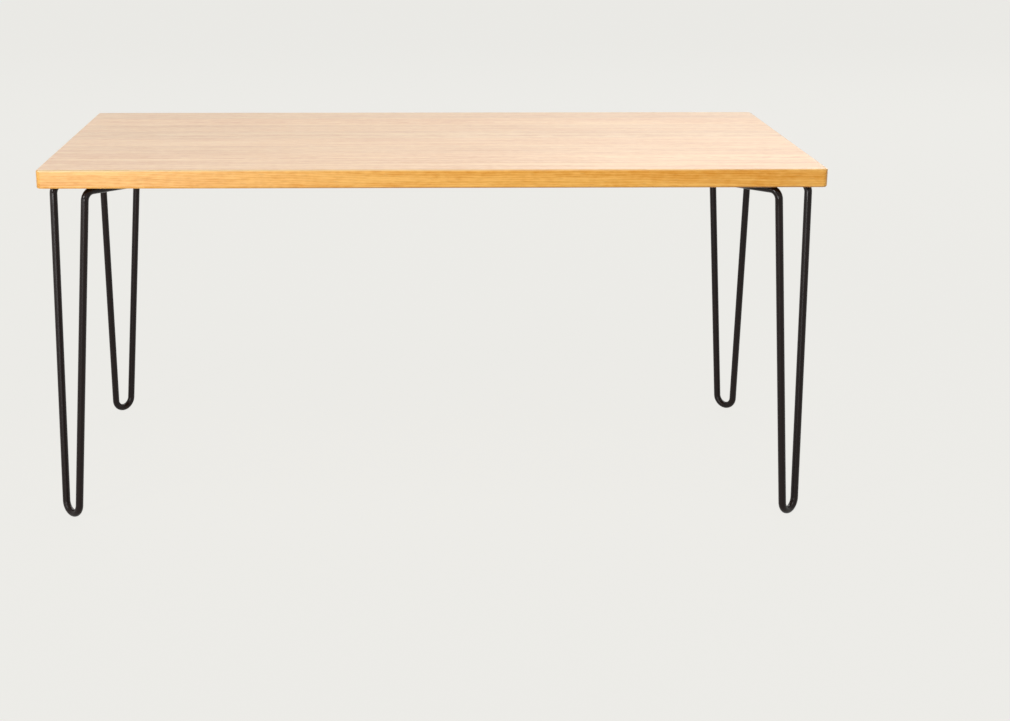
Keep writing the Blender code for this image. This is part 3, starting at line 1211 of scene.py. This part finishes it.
@dataclass
class ButtonScrew:
    """A flanged button-head screw with a hexagon socket."""

    finish: BlackOxide
    shank_radius: float = 0.003
    tip_chamfer: float = 0.0007
    flange_thickness: float = 0.0009
    head_height: float = 0.0033
    head_radius: float = 0.00525
    face_radius: float = 0.0030
    dome_steps: int = 7
    socket_sides: int = 6
    socket_width: float = 0.004
    socket_depth: float = 0.0020
    sides: int = 48
    edge_radius: float = 0.00015
    edge_segments: int = 2
    smooth_below: float = 40.0

    def screw(self, low: Vector, high: Vector) -> Object:
        """Model the screw about the Z axis, head down.

        Args:
            low: The lowest corner of the solid that it stands for.
            high: The highest corner of that solid.

        Returns:
            The screw.
        """
        flange_radius = (high.x - low.x) / 2
        seat = low.z + self.head_height
        flange_bottom = seat - self.flange_thickness
        dome_height = flange_bottom - low.z
        screw = disc("screw", flange_radius, flange_bottom, seat, self.sides)
        edit(screw)
        ease(is_rim, self.edge_radius, self.edge_segments)
        pick(Kind.FACE, lambda face: ends_flat(face) and face.normal.z < 0.0)
        bpy.ops.mesh.inset(thickness=flange_radius - self.edge_radius - self.head_radius)
        radius = self.head_radius
        drop = 0.0
        for step in range(1, self.dome_steps + 1):
            angle = math.pi / 2 * step / self.dome_steps
            next_radius = self.face_radius + (self.head_radius - self.face_radius) * math.cos(angle)
            next_drop = dome_height * math.sin(angle)
            lift(drop - next_drop, next_radius / radius)
            radius = next_radius
            drop = next_drop
        pick(Kind.FACE, lambda face: ends_flat(face) and face.normal.z > 0.0)
        bpy.ops.mesh.inset(thickness=flange_radius - self.edge_radius - self.shank_radius)
        lift(high.z - self.tip_chamfer - seat)
        lift(self.tip_chamfer, 1.0 - self.tip_chamfer / self.shank_radius)
        leave()
        self.sink_socket(screw, low.z)
        shade(screw, self.smooth_below)
        return screw

    def sink_socket(self, screw: Object, face: float) -> None:
        """Cut the hexagon socket into the head.

        Args:
            screw: The screw to cut.
            face: Height of the head's flat face.
        """
        across_corners = self.socket_width / 2 / math.cos(math.pi / self.socket_sides)
        depth = self.socket_depth
        key = disc("hex_key", across_corners, face - depth, face + depth, self.socket_sides)
        combine(screw, key, "DIFFERENCE")

    def make(self) -> None:
        """Make the sixteen screws and put them in place of their solids."""
        finish = self.finish.material("black_oxide")
        screw = self.screw(*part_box(Corner.FRONT_LEFT.fixings("screw")[0]))
        for corner in Corner:
            for node in corner.fixings("screw"):
                piece = copy(screw, f"button_{node}", over(node))
                fit(piece, finish, node)
        discard(screw)


@dataclass
class ThreadedInsert:
    """The brass sleeves in the boards, which stay as their solids with a better finish."""

    finish: MachinedBrass
    radius: float = 0.005
    flange_thickness: float = 0.0012

    def make(self) -> None:
        """Dress the solids of all the inserts."""
        finish = self.finish.material("turned_brass")
        for name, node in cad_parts.items():
            if name.startswith("insert_"):
                node.data.materials.clear()
                node.data.materials.append(finish)
                LOG.info("%s keeps its solid", name)


@dataclass(frozen=True)
class Camera:
    """The photograph's view, fitted to the top's edges and the rods' feet."""

    place: Triple = (-0.0845, -3.8583, 1.3692)
    yaw: float = -0.828
    pitch: float = 16.350
    roll: float = -0.034
    focal_px: float = 1734.2
    centre_px: Pair = (415.9, 360.5)
    image_px: tuple[int, int] = (1010, 721)
    sensor: float = 36.0
    clip: Pair = (0.05, 200.0)

    def make(self) -> None:
        """Add the camera and make it the scene's."""
        turns = ((self.yaw, "Z"), (90.0 - self.pitch, "X"), (-self.roll, "Z"))
        yaw, tilt, roll = (Matrix.Rotation(math.radians(angle), 4, axis) for angle, axis in turns)
        data = bpy.data.cameras.new("camera")
        camera = add("camera", data)
        camera.matrix_world = Matrix.Translation(self.place) @ yaw @ tilt @ roll
        width, height = self.image_px
        data.sensor_width = self.sensor
        data.lens = self.focal_px * self.sensor / width
        data.shift_x = (width / 2 - self.centre_px[0]) / width
        data.shift_y = (self.centre_px[1] - height / 2) / width
        data.clip_start, data.clip_end = self.clip
        bpy.context.scene.camera = camera


@dataclass(frozen=True)
class Softbox:
    """A soft rectangular lamp."""

    name: str
    place: Triple
    aim: Triple
    width: float
    depth: float
    radiance: float

    def make(self) -> None:
        """Hang the lamp and turn it to what it lights."""
        data = bpy.data.lights.new(self.name, "AREA")
        data.shape = "RECTANGLE"
        data.size = self.width
        data.size_y = self.depth
        data.energy = self.radiance * self.width * self.depth * math.pi
        lamp = add(self.name, data)
        lamp.location = self.place
        sight = Vector(self.aim) - Vector(self.place)
        lamp.rotation_euler = sight.to_track_quat("-Z", "Y").to_euler()
        lamp.visible_camera = False
        LOG.info("%s gives %.0f W", self.name, data.energy)


@dataclass
class Studio:
    """A pale floor and backdrop of one colour, soft lamps and an even surround."""

    pale: Color = (0.838, 0.831, 0.799)
    surround: float = 0.045
    floor_reach: float = 90.0
    floor_glow: float = 0.96
    glow_strength: float = 1.022
    softboxes: tuple[Softbox, ...] = (
        Softbox("overhead_left", (-0.95, -0.9, 2.4), (-0.95, -0.3, 0.75), 2.2, 0.5, 0.4),
        Softbox("overhead_right", (1.15, -0.9, 2.4), (1.15, -0.3, 0.75), 1.9, 0.5, 3.3),
        Softbox("front_left", (-2.67, -2.9, 1.99), (-0.7, -0.38, 0.7), 0.7, 0.7, 30.0),
        Softbox("front_right", (0.73, -2.0, 2.6), (0.7, -0.38, 0.7), 0.4, 0.4, 28.0),
        Softbox("low_left", (-1.6, -4.3, 0.46), (-0.9, -0.4, 0.73), 1.5, 0.88, 12.4),
        Softbox("low_far_left", (-3.8, -2.7, 0.55), (-0.8, -0.4, 0.73), 3.0, 1.1, 2.0),
        Softbox("eye_right", (1.7, -4.2, 1.25), (0.0, 0.0, 0.6), 0.9, 0.9, 2.4),
        Softbox("high_back_left", (-2.4, 6.5, 4.6), (-2.4, 0.0, 0.75), 4.2, 2.0, 3.4),
        Softbox("high_back", (0.3, 6.5, 4.6), (0.3, 0.0, 0.75), 1.2, 2.0, 4.2),
        Softbox("high_back_right", (4.4, 6.5, 4.6), (4.4, 0.0, 0.75), 7.0, 2.0, 5.6),
    )

    def make_floor(self) -> None:
        """Lay the floor. It keeps the table's shadow, softened by its own pale colour."""
        bpy.ops.mesh.primitive_plane_add(size=self.floor_reach, location=(0.0, 0.0, CAD_BOX[0].z))
        floor = named("studio_floor")
        shader = Shader(bpy.data.materials.new("pale_floor"))
        shader.tree.nodes.remove(shader.surface)
        matt = shader.node("BsdfDiffuse", {}, {"Color": self.pale})
        glow = shader.node("Emission", {}, {"Color": self.pale, "Strength": self.glow_strength})
        shader.show_apart(matt, glow, self.floor_glow)
        floor.data.materials.append(shader.owner)

    def make_surround(self) -> None:
        """Set the world: the backdrop's colour where it is seen, and an even light elsewhere."""
        world = bpy.data.worlds.new("studio")
        bpy.context.scene.world = world
        shader = Shader(world)
        shader.tree.nodes.remove(shader.surface)
        white = {"Color": (1.0, 1.0, 1.0), "Strength": self.surround}
        ambient = shader.node("Background", {}, white)
        backdrop = shader.node("Background", {}, {"Color": self.pale})
        shader.show_apart(ambient, backdrop)

    def make(self) -> None:
        """Set up the floor, the surround and the lamps."""
        self.make_floor()
        self.make_surround()
        for softbox in self.softboxes:
            softbox.make()
        bpy.context.scene.view_settings.view_transform = "Standard"


def main() -> None:
    """Build the studio and the table."""
    logging.basicConfig(level=logging.INFO, format="%(name)s: %(message)s")
    Camera().make()
    Studio().make()
    coat = PowderCoat()
    BoardTop(TimberFinish()).make()
    Hairpin(coat).make()
    MountingPlate(coat).make()
    ButtonScrew(BlackOxide()).make()
    ThreadedInsert(MachinedBrass()).make()


if __name__ == "__main__":
    main()
